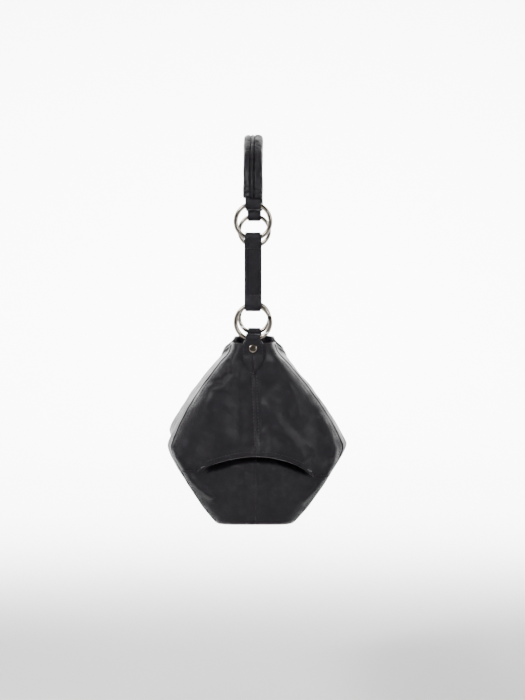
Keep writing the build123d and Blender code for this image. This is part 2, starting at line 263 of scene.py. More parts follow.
def thicken(piece, thickness, inside=True):
    """Give a sheet its leather's thickness; the cut edge takes the second material."""
    return modify(
        piece,
        "SOLIDIFY",
        thickness=thickness * MM,
        offset=-1 if inside else 0,
        use_rim=True,
        use_even_offset=False,
        material_offset_rim=1,
    )


def smooth(piece, angle=50):
    """Smooth shading up to an angle, in degrees."""
    pick(piece)
    bpy.ops.object.shade_smooth_by_angle(angle=math.radians(angle))
    return piece


def dress(piece, body, slot, materials, *nodes):
    """Materials, body and the CAD nodes that a piece stands for; the slot is not used."""
    piece.data.materials.clear()
    for material in materials:
        piece.data.materials.append(material)
    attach(piece, body)
    if nodes:
        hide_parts(*nodes)
    return piece


def turned(piece, name):
    """A copy of the piece, half a turn round Z, for the other end."""
    copy = piece.copy()
    copy.data = piece.data.copy()
    copy.name = name
    bpy.context.scene.collection.objects.link(copy)
    copy.data.transform(Matrix.Rotation(math.pi, 4, "Z"))
    return copy


def swap_side(text):
    """The name of the same piece at the other end."""
    swaps = {"right": "left", "front": "back", "back": "front"}
    return "_".join(swaps.get(word, word) for word in text.split("_"))


def both_ends(piece, body, slot, materials, *nodes):
    """Dress a piece at the right end, and the same piece turned round at the left end."""
    other = turned(piece, swap_side(piece.name))
    other_body = body if body in ("bag", "handle") else swap_side(body)
    dress(piece, body, slot, materials, *nodes)
    dress(other, other_body, slot, materials, *[swap_side(node) for node in nodes])
    return piece, other


def bead(name, points, radius, closed=False):
    """A round leather bead along points in millimetres, made as a curve and turned to a mesh."""
    deselect()
    bpy.ops.curve.primitive_nurbs_path_add()
    piece = bpy.context.object
    piece.name = name
    line = piece.data
    line.splines.clear()
    spline = line.splines.new("POLY")
    spline.points.add(len(points) - 1)
    path = np.column_stack([np.asarray(points) * MM, np.ones(len(points))])
    spline.points.foreach_set("co", path.ravel())
    spline.use_cyclic_u = closed
    line.bevel_depth = radius * MM
    line.bevel_resolution = 3
    line.use_fill_caps = not closed
    bpy.ops.object.convert(target="MESH")
    edit(piece, lambda: bpy.ops.mesh.remove_doubles(threshold=1e-6))
    edit(piece, lambda: bpy.ops.mesh.normals_make_consistent(inside=False))
    return smooth(piece, 60)


def cap_ends():
    """Close the open ends of a piece, from edit mode."""
    bpy.ops.mesh.select_all(action="DESELECT")
    bpy.ops.mesh.select_non_manifold()
    bpy.ops.mesh.edge_face_add()


def arc_length(points):
    """Distance along points, from the first to each."""
    steps = np.linalg.norm(np.diff(points, axis=0), axis=1)
    return np.concatenate([[0], np.cumsum(steps)])


def stitch(place, ahead, out):
    """Size and lay of one stitch on a seam."""
    side = out.cross(ahead).normalized()
    up = ahead.cross(side)
    length, thread = size("stitch_length") * MM, size("thread") * MM
    turn = Matrix((ahead * length, side * thread, up * thread)).transposed().to_4x4()
    return Matrix.Translation(place + up * thread * 0.12) @ turn


def stitches(name, runs):
    """Thread along seams; each run is (points, outward directions), in millimetres."""
    deselect()
    bpy.ops.mesh.primitive_uv_sphere_add(segments=8, ring_count=5, radius=0.5)
    first = bpy.context.object
    edit(first, lambda: bpy.ops.transform.rotate(
        value=math.pi / 2, orient_axis="Y", center_override=(0, 0, 0)))
    first.name = name
    copies = []
    for points, outward in runs:
        points, outward = np.asarray(points, float), np.asarray(outward, float)
        along = arc_length(points)
        count = max(2, int(along[-1] / size("stitch_pitch")))

        def at(where, values):
            return Vector([float(np.interp(where, along, values[:, k])) for k in range(3)])

        for where in (np.arange(count) + 0.5) * along[-1] / count:
            ahead = (at(where + 0.6, points) - at(where - 0.6, points)).normalized()
            copy = bpy.data.objects.new(name, first.data.copy())
            copy.data.transform(stitch(at(where, points) * MM, ahead, at(where, outward)))
            bpy.context.scene.collection.objects.link(copy)
            copies.append(copy)
    bpy.data.objects.remove(first)
    deselect()
    for copy in copies:
        copy.select_set(True)
    bpy.context.view_layer.objects.active = copies[0]
    bpy.ops.object.join()
    copies[0].name = name
    return smooth(copies[0], 80)


# ------------------------------------------------------------------ materials


def per_metre(millimetres):
    """A texture's scale for a feature this wide."""
    return 1 / (millimetres * MM)


def add_node(tree, kind, inputs=(), **settings):
    """Add a node, set it, and link or fill its inputs, given as (socket, value) pairs."""
    node = tree.nodes.new(kind)
    for name, value in settings.items():
        setattr(node, name, value)
    for socket, value in inputs:
        place = socket
        if isinstance(socket, str):
            place = next(i for i, own in enumerate(node.inputs) if own.name == socket and own.enabled)
        if isinstance(value, bpy.types.NodeSocket):
            tree.links.new(value, node.inputs[place])
        else:
            node.inputs[place].default_value = value
    return node


def blank(name):
    """A material with only its shader and its output."""
    old = bpy.data.materials.get(name)
    if old:
        return old, None, None
    material = bpy.data.materials.new(name)
    material.use_nodes = True
    tree = material.node_tree
    return material, tree, tree.nodes["Principled BSDF"]


def shade(shader, **values):
    """Set the shader's own sockets; underscores stand for spaces."""
    for name, value in values.items():
        shader.inputs[name.replace("_", " ")].default_value = value


def nappa_leather(name="nappa_leather", grain_share=1.0):
    """Drum-dyed nappa: the tumbled hide gives a soft sheen, a fine pebble and faint creases."""
    material, tree, shader = blank(name)
    if tree is None:
        return material
    place = add_node(tree, "ShaderNodeTexCoord").outputs["Object"]
    # A real pebble is about 0.8 mm wide; it is drawn about twice as wide, so that it shows.
    warp = add_node(
        tree, "ShaderNodeTexNoise", [("Vector", place), ("Scale", per_metre(4)), ("Detail", 2.0)]
    )
    bent = add_node(
        tree,
        "ShaderNodeVectorMath",
        [(0, warp.outputs["Color"]), ("Scale", 0.0012)],
        operation="SCALE",
    )
    moved = add_node(tree, "ShaderNodeVectorMath", [(0, place), (1, bent.outputs[0])])
    pebble = add_node(
        tree,
        "ShaderNodeTexVoronoi",
        [("Vector", moved.outputs[0]), ("Scale", per_metre(size("grain")))],
        feature="SMOOTH_F1",
    )
    crease = add_node(
        tree,
        "ShaderNodeTexNoise",
        [("Vector", place), ("Scale", per_metre(11)), ("Detail", 4.0), ("Roughness", 0.55)],
    )
    cloud = add_node(
        tree, "ShaderNodeTexNoise", [("Vector", place), ("Scale", per_metre(38)), ("Detail", 3.0)]
    )
    grain = add_node(
        tree,
        "ShaderNodeBump",
        [
            ("Strength", 0.6 * grain_share),
            ("Distance", 0.0003),
            ("Height", pebble.outputs["Distance"]),
        ],
        invert=True,
    )
    creased = add_node(
        tree,
        "ShaderNodeBump",
        [
            ("Strength", 0.4),
            ("Distance", 0.0026),
            ("Height", crease.outputs["Fac"]),
            ("Normal", grain.outputs["Normal"]),
        ],
    )
    rough = add_node(
        tree,
        "ShaderNodeMapRange",
        [
            ("Value", crease.outputs["Fac"]),
            ("From Min", 0.3),
            ("From Max", 0.7),
            ("To Min", 0.4),
            ("To Max", 0.58),
        ],
    )
    tint = add_node(
        tree,
        "ShaderNodeMix",
        [("Factor", cloud.outputs["Fac"]), ("A", colour("leather", 0.8)), ("B", colour("leather", 1.3))],
        data_type="RGBA",
    )
    tree.links.new(tint.outputs[2], shader.inputs["Base Color"])
    tree.links.new(rough.outputs["Result"], shader.inputs["Roughness"])
    tree.links.new(creased.outputs["Normal"], shader.inputs["Normal"])
    shade(shader, IOR=1.4, Specular_IOR_Level=0.26, Sheen_Weight=0.01, Sheen_Roughness=0.5)
    return material


def edge_paint_and_highlight():
    """Acrylic edge paint: brushed thick on cut leather, so it is smooth and glossier. Its colour, lighter
    than the leather's, is partly the paint's own tone and partly a painted highlight for the glossy edges.
    """
    material, tree, shader = blank("acrylic_edge_paint")
    if tree is None:
        return material
    place = add_node(tree, "ShaderNodeTexCoord").outputs["Object"]
    wave = add_node(
        tree, "ShaderNodeTexNoise", [("Vector", place), ("Scale", per_metre(3)), ("Detail", 2.0)]
    )
    bump = add_node(
        tree,
        "ShaderNodeBump",
        [("Strength", 0.15), ("Distance", 0.0003), ("Height", wave.outputs["Fac"])],
    )
    # Lighter where the brush marks stand up: a painted highlight.
    tint = add_node(
        tree,
        "ShaderNodeMix",
        [("Factor", wave.outputs["Fac"]), ("A", colour("edge")), ("B", colour("edge", 1.3))],
        data_type="RGBA",
    )
    tree.links.new(tint.outputs[2], shader.inputs["Base Color"])
    tree.links.new(bump.outputs["Normal"], shader.inputs["Normal"])
    shade(shader, Roughness=0.3, IOR=1.49)
    return material


def bonded_thread():
    """Bonded polyester thread: the twisted strands give it a fine, broken sheen, from their bumps and from
    a painted highlight on their raised bands.
    """
    material, tree, shader = blank("bonded_polyester_thread")
    if tree is None:
        return material
    place = add_node(tree, "ShaderNodeTexCoord").outputs["Object"]
    # A real strand's twist is about 0.5 mm; it is drawn at 1.2 mm, so that it shows.
    twist = add_node(
        tree,
        "ShaderNodeTexWave",
        [("Vector", place), ("Scale", per_metre(1.2) / 3), ("Distortion", 2.0)],
        bands_direction="DIAGONAL",
    )
    bump = add_node(
        tree,
        "ShaderNodeBump",
        [("Strength", 0.4), ("Distance", 0.0001), ("Height", twist.outputs["Fac"])],
    )
    # Lighter on the twist's raised bands: a painted highlight.
    tint = add_node(
        tree,
        "ShaderNodeMix",
        [("Factor", twist.outputs["Fac"]), ("A", colour("thread")), ("B", colour("thread", 1.4))],
        data_type="RGBA",
    )
    tree.links.new(tint.outputs[2], shader.inputs["Base Color"])
    tree.links.new(bump.outputs["Normal"], shader.inputs["Normal"])
    shade(shader, Roughness=0.6, IOR=1.5, Specular_IOR_Level=0.25)
    return material


def nickel_plate():
    """Polished nickel plate: a warm mirror, with handling haze and fine polishing marks."""
    material, tree, shader = blank("polished_nickel_plate")
    if tree is None:
        return material
    place = add_node(tree, "ShaderNodeTexCoord").outputs["Object"]
    haze = add_node(
        tree, "ShaderNodeTexNoise", [("Vector", place), ("Scale", per_metre(7)), ("Detail", 5.0)]
    )
    marks = add_node(
        tree, "ShaderNodeTexNoise", [("Vector", place), ("Scale", per_metre(0.7)), ("Detail", 3.0)]
    )
    bump = add_node(
        tree,
        "ShaderNodeBump",
        [("Strength", 0.05), ("Distance", 0.0001), ("Height", marks.outputs["Fac"])],
    )
    rough = add_node(
        tree,
        "ShaderNodeMapRange",
        [
            ("Value", haze.outputs["Fac"]),
            ("From Min", 0.3),
            ("From Max", 0.7),
            ("To Min", 0.14),
            ("To Max", 0.26),
        ],
    )
    tint = add_node(
        tree,
        "ShaderNodeMix",
        [("Factor", haze.outputs["Fac"]), ("A", colour("nickel", 0.82)), ("B", colour("nickel"))],
        data_type="RGBA",
    )
    tree.links.new(tint.outputs[2], shader.inputs["Base Color"])
    tree.links.new(rough.outputs["Result"], shader.inputs["Roughness"])
    tree.links.new(bump.outputs["Normal"], shader.inputs["Normal"])
    shade(shader, Metallic=1.0)
    return material


def cotton_twill():
    """Cotton twill: woven in fine diagonal ribs, so it is dry and quite matte."""
    material, tree, shader = blank("cotton_twill")
    if tree is None:
        return material
    place = add_node(tree, "ShaderNodeTexCoord").outputs["Object"]
    # Twill ribs are about 0.5 mm apart; they are drawn at 1.4 mm, so that they show.
    ribs = add_node(
        tree,
        "ShaderNodeTexWave",
        [("Vector", place), ("Scale", per_metre(1.4) / 3), ("Distortion", 0.6)],
        bands_direction="DIAGONAL",
    )
    fibre = add_node(
        tree, "ShaderNodeTexNoise", [("Vector", place), ("Scale", per_metre(2)), ("Detail", 4.0)]
    )
    bump = add_node(
        tree,
        "ShaderNodeBump",
        [("Strength", 0.5), ("Distance", 0.0002), ("Height", ribs.outputs["Fac"])],
    )
    tint = add_node(
        tree,
        "ShaderNodeMix",
        [("Factor", fibre.outputs["Fac"]), ("A", colour("lining")), ("B", colour("lining", 1.8))],
        data_type="RGBA",
    )
    tree.links.new(tint.outputs[2], shader.inputs["Base Color"])
    tree.links.new(bump.outputs["Normal"], shader.inputs["Normal"])
    shade(shader, Roughness=0.85, IOR=1.5, Sheen_Weight=0.3, Sheen_Roughness=0.5)
    return material


def paper_sweep():
    """Matt studio paper: plain, with only a slow unevenness."""
    material, tree, shader = blank("matt_studio_paper")
    if tree is None:
        return material
    place = add_node(tree, "ShaderNodeTexCoord").outputs["Object"]
    tooth = add_node(
        tree, "ShaderNodeTexNoise", [("Vector", place), ("Scale", per_metre(300)), ("Detail", 2.0)]
    )
    tint = add_node(
        tree,
        "ShaderNodeMix",
        [("Factor", tooth.outputs["Fac"]), ("A", colour("floor", 0.985)), ("B", colour("floor"))],
        data_type="RGBA",
    )
    tree.links.new(tint.outputs[2], shader.inputs["Base Color"])
    shade(shader, Roughness=0.9)
    return material


# ------------------------------------------------------------------ the bag's form
#
# Everything below is in millimetres.  h is the height above the base.  The end's details
# are given for the right end as (y, h).

# Half the depth of the bag at heights above its base: the base's rounded edge, the straight
# run out to the widest fold, and the slack curve back in to the mouth.
DEPTH_AT = [0, 3, 8, 17, 42, 70, 81, 84, 88, 107, 126, 148, 167, 174, 180, 184, 193, 200]
DEPTHS = [42.5, 46, 50.5, 58.5, 76, 92, 96.5, 97, 95.5, 86.5, 75, 59, 43, 37, 30.5, 27, 24, 24]
WIDE = 84.0  # height of the widest fold
# Half depths halfway along the bag: at the mouth, at the widest fold and at the base.
MIDDLE_TOP, MIDDLE_WIDE, MIDDLE_BASE = 25.0, 98.0, 49.0
SQUARE = 7.0  # how square the bag is seen from above
SEAM_SHARE = 0.94  # of the half depth, where the side seams run
DIP, DIP_HALF = 18.0, 105.0  # of the mouth: how deep, and half of how long


def slump(x, y, h):
    """The soft bag leans a little to one side at each end."""
    lean = np.interp(h, [0, WIDE, HEIGHT], [1.7, 4.4, 0.0])
    return x, y + lean * np.sin(np.clip(x / 100, -1, 1) * math.pi / 2), BASE + h


def smoothstep(value, low, high):
    """An even rise from 0 at low to 1 at high."""
    t = np.clip((value - low) / (high - low), 0, 1)
    return t * t * (3 - 2 * t)


def softened(curve, h, reach):
    """A curve averaged over a few heights, which rounds its corners."""
    taps = ((-1, 1), (-0.5, 2), (0, 3), (0.5, 2), (1, 1))
    return sum(weight * curve(h + shift * reach) for shift, weight in taps) / 9


def raw_depth(h):
    """Half depth at the ends, with its corners sharp."""
    return np.interp(h, DEPTH_AT, DEPTHS)


def half_depth(h, reach=3.0):
    """Half depth of the bag at its ends."""
    return softened(raw_depth, h, reach)


def raw_middle(h):
    """Half depth halfway along the bag, where the walls hang straight."""
    points = [MIDDLE_BASE - 4, MIDDLE_BASE + 3, MIDDLE_WIDE, MIDDLE_TOP]
    return np.interp(h, [0, 6, WIDE, HEIGHT], points)


def half_length(h):
    """Half the length of the bag along its centre seam."""
    heights = [0, 4, 12, TUCK, HEIGHT]
    return np.interp(h, heights, [-12.5, -9.5, -7.5, 12.0, 0.0]) + LENGTH_TOP


def end_outline(y, h, length=None):
    """x of the end wall before its folds."""
    length = half_length(h) if length is None else length
    share = np.clip(np.abs(y) / half_depth(h), 0, 0.999)
    return length * (1 - share**SQUARE) ** (1 / SQUARE)


def rounded(c, s, a, b, power=SQUARE):
    """Distance from the middle of a rounded rectangle to its edge, in one direction."""
    return (np.abs(c / a) ** power + np.abs(s / b) ** power) ** (-1 / power)


def seam_y(h):
    """How far out the side seams run."""
    return SEAM_SHARE * half_depth(h)


def tuck_line(y):
    """Height of the tuck's lip: highest at the centre seam, lower to each side."""
    drop = np.where(y < 0, 11.5, 15.0)
    return TUCK + 1.5 - drop * np.minimum(np.abs(y) / 55, 1.25) ** 1.9


def near_path(y, h, path, width, height):
    """A soft ridge along a path of (y, h) points."""
    best = np.full(np.shape(y), 1e9)
    for (y0, h0), (y1, h1) in zip(path, path[1:]):
        dy, dh = y1 - y0, h1 - h0
        t = np.clip(((y - y0) * dy + (h - h0) * dh) / (dy * dy + dh * dh), 0, 1)
        best = np.minimum(best, np.hypot(y - y0 - t * dy, h - h0 - t * dh))
    return height * np.exp(-((best / width) ** 2))


# Soft folds of the end wall: path, width and height.
FOLDS = [
    ([(24, 176), (36, 156), (44, 138), (46, 120)], 9, 2.6),
    ([(14, 128), (22, 110), (34, 95), (52, 76)], 8, 2.6),
    ([(9, 100), (7, 80)], 5, 1.0),
    ([(58, 118), (63, 96), (60, 74)], 9, -1.8),
    ([(70, 116), (78, 98), (82, 82), (81, 66), (74, 52), (60, 34), (52, 26)], 4.5, 3.4),
    ([(-92, 84), (-80, 66), (-70, 50), (-60, 40), (-48, 32)], 4.5, 3.4),
    ([(-64, 92), (-66, 74), (-62, 58)], 10, -1.8),
    ([(-26, 178), (-27, 162), (-34, 155), (-48, 153)], 3.2, -1.5),
    ([(-22, 172), (-22, 160), (-32, 148), (-50, 146)], 4.0, 1.1),
    ([(-52, 132), (-46, 112), (-36, 98)], 14, 2.6),
    ([(-9, 160), (-7, 120), (-9, 92)], 6, 0.9),
]
LOW_FOLDS = [
    ([(-19, 70), (-20, 34), (-22, 10)], 4.5, 1.5),
    ([(-12, 70), (-12, 30), (-13, 8)], 3.5, -0.9),
    ([(-34, 62), (-32, 30)], 6, -1.2),
    ([(17, 68), (14, 34), (15, 10)], 5, -1.2),
    ([(28, 62), (24, 36), (20, 14)], 5, 1.4),
    ([(40, 56), (36, 34), (30, 20)], 6, -1.0),
]


def fold_height(y, h, folds):
    """All the ridges and hollows of a list of folds."""
    return sum(near_path(y, h, path, width, height) for path, width, height in folds)


def seam_groove(y, h):
    """The seam's edges turn in, and the allowance behind them raises the leather."""
    near = np.abs(y)
    raised = 0.6 * np.exp(-(((near - 2.7) / 1.9) ** 2)) - 0.35 * np.exp(-((near / 0.6) ** 2))
    return raised * smoothstep(h, HEIGHT - 24, HEIGHT - 31)


def crease_half(y, h):
    """How far from the seam the recessed lower end reaches, at height h."""
    left = np.interp(h, [26, 34, 50, 66, 84], [44, 52, 70, 81, 92])
    right = np.interp(h, [24, 34, 52, 66, 84], [50, 60, 74, 81, 84])
    return np.where(y < 0, left, right)


def wrinkle(across, h, seed):
    """Small uneven waves of handled leather."""
    rng = np.random.default_rng(seed)
    total = 0
    for _ in range(12):
        way, pitch, phase = rng.uniform(0, math.pi), rng.uniform(13, 36), rng.uniform(0, 6.28)
        run = across * math.cos(way) + h * math.sin(way)
        total = total + pitch / 24 * np.sin(2 * math.pi * run / pitch + phase)
    return 0.11 * total


def wall_x(y, h, length=None):
    """The end wall with its folds, without the tuck."""
    inside = smoothstep(crease_half(y, h) - np.abs(y), -2, 16) * smoothstep(h, TUCK, TUCK - 22)
    low = smoothstep(h, 2, 40)
    folds = 1.6 * fold_height(y, h, FOLDS) * low
    free = smoothstep(h, HEIGHT, HEIGHT - 30) * smoothstep(h, 2, 25) * wrinkle(y, h, 5)
    return end_outline(y, h, length) + folds - 3.0 * inside * low + seam_groove(y, h) + free


def upper_x(y, h):
    """The end wall above the tuck, which hangs out over it as far as its lip reaches."""
    held = smoothstep(np.abs(y), 44, 63)
    length = half_length(np.maximum(h, TUCK)) * (1 - held) + half_length(h) * held
    lip = np.exp(-(((h - tuck_line(y)) / 15) ** 2)) * (1 - held)
    fullness = 3.0 * np.sin(np.pi * np.clip((h - TUCK) / (HEIGHT - TUCK), 0, 1) ** 1.3)
    bulge = fullness * smoothstep(np.abs(y), 12, 34) * smoothstep(np.abs(y) / half_depth(h), 1, 0.7)
    return wall_x(y, h, length) + 4.0 * lip + bulge


def lower_x(y, h):
    """The end wall below the tuck, drawn in under the lip and full again below it."""
    reach = smoothstep(np.abs(y), 63, 44)
    below = h - tuck_line(y)
    drawn_in = size("recess") * smoothstep(below, -10, 0) * reach
    belly = 2.2 * np.exp(-(((below + 24) / 12) ** 2)) * reach
    folds = fold_height(y, h, LOW_FOLDS) * smoothstep(h, 2, 40) * smoothstep(h, 84, 60)
    return wall_x(y, h) - drawn_in + belly + folds * smoothstep(np.abs(y), 66, 50)


def mouth(x):
    """Height of the mouth's edge."""
    t = np.clip(1 - (x / DIP_HALF) ** 2, 0, 1)
    return HEIGHT - DIP * t


def side_y(x, h):
    """Half depth of the long sides, at x along the bag."""
    length = half_length(h)
    share = np.clip(np.abs(x) / length, 0, 0.999)
    end_form = half_depth(h) * (1 - share**SQUARE) ** (1 / SQUARE)
    straight = softened(raw_middle, h, 15.0)
    return end_form + (straight - end_form) * smoothstep(np.abs(x), 100, 62)


def seam_x(h):
    """Where the side seam is along the bag."""
    return half_length(h) * (1 - SEAM_SHARE**SQUARE) ** (1 / SQUARE)


def ripple(x, h, seed):
    """Slow, uneven waves of slack leather on a long side."""
    rng = np.random.default_rng(seed)
    total = 0
    for _ in range(7):
        lean, pitch, phase = rng.uniform(-0.5, 0.5), rng.uniform(42, 95), rng.uniform(0, 6.28)
        total = total + np.sin(2 * math.pi * (x + lean * (h - 90)) / pitch + phase)
    return 0.42 * total


def side_out(x, h, side):
    """y of a long side with its slack."""
    from_seam = smoothstep(seam_x(h) - np.abs(x), 0, 30)
    free = from_seam * smoothstep(h, 2, 40) * smoothstep(mouth(x) - h, 2, 40)
    return side * (side_y(x, h) + free * (ripple(x, h, 12 + side) + wrinkle(x, h, 22 + side)))


# ------------------------------------------------------------------ the bag's pieces


def make_end_upper(side):
    """Half of the end wall above the tuck, with its lower edge rolled under."""
    label = "front" if side < 0 else "back"
    lip = size("lip")

    def place(u, v):
        across = u * seam_y(tuck_line(0 * u))
        low = tuck_line(side * across)
        roll = lip * smoothstep(across, 62, 48) + 0.08
        fall = np.clip(v / 0.9, 0, 1)
        h = HEIGHT - (HEIGHT - low - roll) * fall
        reach = u * seam_y(h)
        x = upper_x(side * reach, h)
        turn = np.clip((v - 0.9) / 0.1, 0, 1) * 3.6
        x = x - roll * (1 - np.cos(turn))
        h = h - roll * np.sin(turn)
        return slump(x, side * reach, h)

    piece = surface(f"end_upper_{label}_skin_right", 70, 190, place)
    outwards(piece, (0, side * 10, -300))
    thicken(piece, size("leather"))
    smooth(piece)
    node = f"end_upper_{label}_right"
    both_ends(piece, "bag", "black_leather", [nappa_leather(), edge_paint_and_highlight()], node)


def make_end_lower(side):
    """Half of the end wall below the tuck, from behind the lip to the base."""
    label = "front" if side < 0 else "back"

    def place(u, v):
        across = u * seam_y(tuck_line(0 * u))
        behind = 2.6 + 2.8 * smoothstep(across, 62, 46)
        top = tuck_line(side * across) + behind
        h = top * (1 - v)
        reach = u * seam_y(np.minimum(h, WIDE))
        x = lower_x(side * reach, h) - 0.15 * smoothstep(v, 0.1, 0.0)
        return slump(x, side * reach, h)

    piece = surface(f"end_lower_{label}_skin_right", 70, 80, place)
    outwards(piece, (0, side * 10, -360))
    thicken(piece, size("leather"))
    smooth(piece)
    node = f"end_lower_{label}_right"
    both_ends(piece, "bag", "black_leather", [nappa_leather(), edge_paint_and_highlight()], node)


def make_side(side):
    """A long side from the base to the dipped mouth."""
    label = "front" if side < 0 else "back"

    def place(u, v):
        share = 2 * u - 1
        top = mouth(share * seam_x(HEIGHT + 0 * u))
        h = top * v
        x = share * seam_x(h)
        return slump(x, side_out(x, h, side), h)

    piece = surface(f"{label}_skin", 170, 150, place)
    outwards(piece, (0, 0, -330))
    thicken(piece, size("leather"))
    smooth(piece)
    dress(piece, "bag", "black_leather", [nappa_leather(), edge_paint_and_highlight()], f"{label}_panel")


def base_loop(h, inset=0.0, count=360):
    """Points round the bag at one height."""
    turn = np.linspace(0, 2 * math.pi, count, endpoint=False)
    c, s = np.cos(turn), np.sin(turn)
    a = half_length(np.full(count, float(h))) - inset
    b = half_depth(np.full(count, float(h))) - inset
    radius = rounded(c, s, a, b)
    return np.stack(slump(radius * c, radius * s, np.full(count, float(h))), 1)


def make_base():
    """The flat base, its stiffener and the welt sewn round its edge."""
    edge = base_loop(1.2, 1.0, 240)

    def plate(z_low, z_high, inset):
        def place(u, v):
            index = (u * len(edge)).astype(int) % len(edge)
            share = np.clip(np.where(v < 0.5, v * 2, (1 - v) * 2), 0, 1)
            scale = 1 - inset / np.linalg.norm(edge[index][:, :2], axis=1)
            xy = edge[index][:, :2] * (scale * share)[:, None]
            z = np.where(v < 0.5, z_low, z_high)
            return xy[:, 0], xy[:, 1], z

        return place

    skin = surface("base_skin", 240, 24, plate(BASE + 0.2, BASE + 2.0, 0.6), closed=True)
    edit(skin, lambda: bpy.ops.mesh.normals_make_consistent(inside=False))
    smooth(skin)
    dress(skin, "bag", "black_leather", [nappa_leather(), edge_paint_and_highlight()], "base_panel")
    board = surface("base_stiffener", 240, 24, plate(BASE + 2.2, BASE + 4.0, 6.0), closed=True)
    edit(board, lambda: bpy.ops.mesh.normals_make_consistent(inside=False))
    smooth(board)
    dress(board, "bag", "filler_board", [cotton_twill()], "base_board")
    welt = bead("base_welt", base_loop(1.4, 0.2, 360), 1.25, closed=True)
    # The welt wears the lighter edge paint, which paints a highlight along the base's edge.
    dress(welt, "bag", "black_leather", [edge_paint_and_highlight()])


def seam_path(side, low, high, count, lift=0.4):
    """The side seam at the right end."""
    h = np.linspace(low, high, count)
    y = side * seam_y(h)
    return np.stack(slump(seam_x(h) + lift, y + side * lift, h), 1)


def make_welts():
    """A fine welt in each side seam."""
    for side, label in ((-1, "front"), (1, "back")):
        welt = bead(f"side_welt_{label}_right", seam_path(side, 1.5, HEIGHT - 1, 120, 0.0), 0.95)
        both_ends(welt, "bag", "black_leather", [nappa_leather()])


def make_stitching():
    """Topstitching on the centre seam, the tuck's lip and the side seams."""
    runs = []
    h = np.linspace(TUCK + 8, HEIGHT - 32.5, 90)
    for y in (-2.4, 2.4):
        line = np.full_like(h, y)
        points = np.stack(slump(upper_x(line, h) + 0.1, line, h), 1)
        runs.append((points, np.tile([1.0, 0, 0.1], (len(h), 1))))
    for side in (-1, 1):
        y = side * np.linspace(5, 52, 60)
        low = tuck_line(y) + 5.2
        points = np.stack(slump(upper_x(y, low) + 0.1, y, low), 1)
        runs.append((points, np.tile([1.0, 0, 0.0], (len(y), 1))))
        for start, end, shape in ((4, 56, lower_x), (72, HEIGHT - 6, upper_x)):
            h = np.linspace(start, end, 80)
            y = side * (seam_y(h) - 3.0)
            points = np.stack(slump(shape(y, h) + 0.1, y, h), 1)
            runs.append((points, np.tile([0.75, side * 0.65, 0.0], (len(h), 1))))
    both_ends(stitches("end_stitching_right", runs), "bag", "black_leather", [bonded_thread()])


def make_tucks():
    """The rolled leather edge that finishes each tuck's lip, in the lighter edge paint, which paints a
    highlight along the lip.
    """
    y = np.linspace(-58, 58, 120)
    low = tuck_line(y)
    roll = size("lip") * smoothstep(np.abs(y), 62, 48) + 0.3
    x = upper_x(y, low + roll) - roll * 0.9
    points = np.stack(slump(x, y, low + roll * 0.15), 1)
    rolled = bead("tuck_edge_right", points, 1.0)
    both_ends(rolled, "bag", "black_leather", [edge_paint_and_highlight()], "end_tuck_right")


def inner_loop(x_share, h, inset):
    """A point of the inside at a share of the way round, starting at +X."""
    a = half_length(h) - inset - size("recess") * 0.9 * smoothstep(h, 150, 60)
    b = half_depth(h) - inset
    turn = 2 * math.pi * x_share
    c, s = np.cos(turn), np.sin(turn)
    radius = rounded(c, s, a, b)
    x, y = radius * c, radius * s
    return x, np.where(np.abs(x) < seam_x(h), np.sign(y) * (side_y(x, h) - inset), y)


def make_inside():
    """Cloth lining, and the leather facing and rolled rim of the mouth."""

    def lining(u, v):
        h = 5.0 + v * (HEIGHT - 30 - 5.0)
        x, y = inner_loop(u, h, 3.6)
        return slump(x, y, h)

    def floor(u, v):
        h = np.full_like(u, 5.0)
        x, y = inner_loop(u, h, 3.6)
        return slump(x * v, y * v, h)

    walls = surface("lining_walls", 260, 60, lining, closed=True)
    outwards(walls, (0, 0, -330))
    edit(walls, bpy.ops.mesh.flip_normals)
    smooth(walls)
    dress(walls, "bag", "lining_cloth", [cotton_twill()], "lining")
    bottom = surface("lining_floor", 260, 16, floor, closed=True)
    smooth(bottom)
    dress(bottom, "bag", "lining_cloth", [cotton_twill()])

    def facing(u, v):
        guess, _ = inner_loop(u, np.full_like(u, HEIGHT), 2.2)
        top = mouth(guess) - 0.6
        h = HEIGHT - 44 + v * (top - HEIGHT + 44)
        x, y = inner_loop(u, h, 2.2)
        return slump(x, y, h)

    band = surface("mouth_facing_band", 260, 24, facing, closed=True)
    outwards(band, (0, 0, -240))
    edit(band, bpy.ops.mesh.flip_normals)
    thicken(band, 0.8, inside=False)
    smooth(band)
    dress(band, "bag", "black_leather", [nappa_leather(), edge_paint_and_highlight()], "mouth_facing")
    turn = np.linspace(0, 1, 320, endpoint=False)
    x, y = inner_loop(turn, np.full_like(turn, HEIGHT), 1.0)
    x, y = inner_loop(turn, mouth(x), 1.0)
    rim = bead("mouth_rim", np.stack(slump(x, y, mouth(x) - 0.2), 1), 1.35, closed=True)
    dress(rim, "bag", "black_leather", [nappa_leather()])


